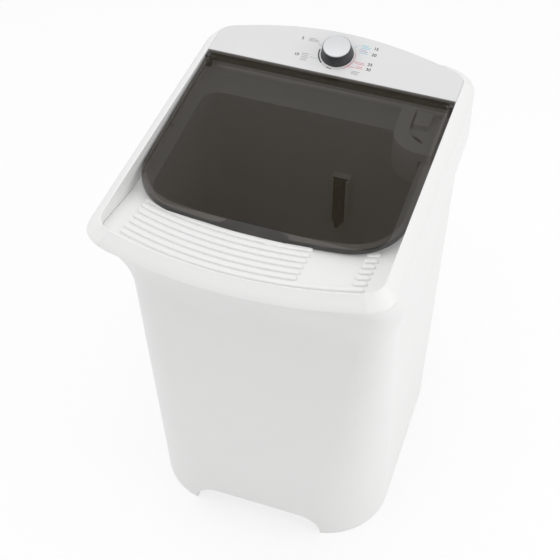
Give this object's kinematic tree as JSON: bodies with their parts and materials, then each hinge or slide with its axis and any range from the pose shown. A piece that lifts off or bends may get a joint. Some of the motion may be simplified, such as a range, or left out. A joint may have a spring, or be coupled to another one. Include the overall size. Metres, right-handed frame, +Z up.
{
  "type": "semi-automatic washing machine",
  "caption": "White plastic single-tub washing machine with a smoked lid, a sloping washboard tray, a timer knob, a dispenser cup and a belt-driven pulsator.",
  "frame": {"origin": "centre of the footprint, on the floor", "axes": "+Z up, +Y from the front to the back, +X to the right as seen from the front"},
  "size_m": [0.5426, 0.7209, 0.9398],
  "materials": {
    "white_plastic": "smooth moulded white",
    "fascia_grey": "fine satin light grey",
    "smoked_plastic": "smoked, glossy",
    "dark_grey_plastic": "moulded dark grey",
    "grey_plastic": "moulded grey",
    "silver_plastic": "silver lacquer",
    "black_plastic": "moulded black",
    "filter_fabric": "fine woven mesh",
    "zinc_steel": "zinc plated",
    "core_steel": "stacked sheet",
    "cast_aluminium": "as cast",
    "bronze": "sintered",
    "black_rubber": "matt"
  },
  "bodies": {
    "machine": {"cabinet": "white_plastic", "rim": "white_plastic", "tub": "white_plastic", "tub_screws": "zinc_steel", "fascia": "fascia_grey", "hinge_bar": "smoked_plastic", "hinge_blocks": "black_plastic", "timer": "black_plastic", "timer_nut": "zinc_steel", "dispenser_cup": "grey_plastic", "siphon_cap": "grey_plastic", "filter_guide": "white_plastic", "bearing_housing": "cast_aluminium", "shaft_seal": "black_rubber", "upper_bearing": "bronze", "lower_bearing": "bronze", "housing_bolts": "zinc_steel", "drive_belt": "black_rubber", "motor_stator": "core_steel", "upper_shield": "cast_aluminium", "lower_shield": "cast_aluminium", "motor_bearings": "zinc_steel", "motor_plate": "zinc_steel", "motor_bolts": "zinc_steel", "motor_dampers": "black_rubber", "mount_bolts": "zinc_steel", "drain_elbow": "white_plastic", "drain_hose": "black_rubber", "hose_clips": "zinc_steel", "drain_outlet": "black_plastic", "base_plate": "black_plastic", "base_screws": "zinc_steel", "foot_pads": "black_rubber", "service_cover": "white_plastic", "cover_screws": "zinc_steel", "cord_gland": "black_plastic", "capacitor": "cast_aluminium", "capacitor_clamp": "zinc_steel"},
    "lid": {"lid": "smoked_plastic", "hinge_pins": "zinc_steel"},
    "knob": {"knob": "dark_grey_plastic", "knob_cap": "silver_plastic", "timer_shaft": "bronze"},
    "agitator": {"pulsator": "white_plastic", "pulsator_bolt": "zinc_steel", "pulsator_cap": "grey_plastic", "drive_shaft": "zinc_steel", "driven_pulley": "cast_aluminium", "pulley_nut": "zinc_steel"},
    "motor": {"motor_rotor": "core_steel", "motor_shaft": "zinc_steel", "motor_fan": "black_plastic", "motor_pulley": "cast_aluminium"},
    "lint_filter": {"filter_frame": "dark_grey_plastic", "filter_mesh": "filter_fabric"}
  },
  "joints": [
    {"name": "lid_hinge", "type": "hinge", "parent": "machine", "child": "lid", "pos_m": [0, 0.217, 0.89], "axis": [-1, 0, 0], "range_deg": [0, 100]},
    {"name": "knob_turn", "type": "hinge", "parent": "machine", "child": "knob", "pos_m": [0, 0.278, 0.90976], "axis": [0, 0.2334, -0.9724], "range_deg": [0, 330]},
    {"name": "agitator_spin", "type": "hinge", "parent": "machine", "child": "agitator", "pos_m": [0, -0.011, 0.43], "axis": [0, 0, 1], "continuous": true},
    {"name": "motor_spin", "type": "hinge", "parent": "machine", "child": "motor", "pos_m": [0.13, -0.011, 0.31], "axis": [0, 0, 1], "continuous": true},
    {"name": "filter_slide", "type": "slide", "parent": "machine", "child": "lint_filter", "axis": [0, 0, 1], "range_m": [0, 0.12]}
  ],
  "couplings": [
    {"joint": "motor_spin", "follows": "agitator_spin", "ratio": 4.4426}
  ]
}
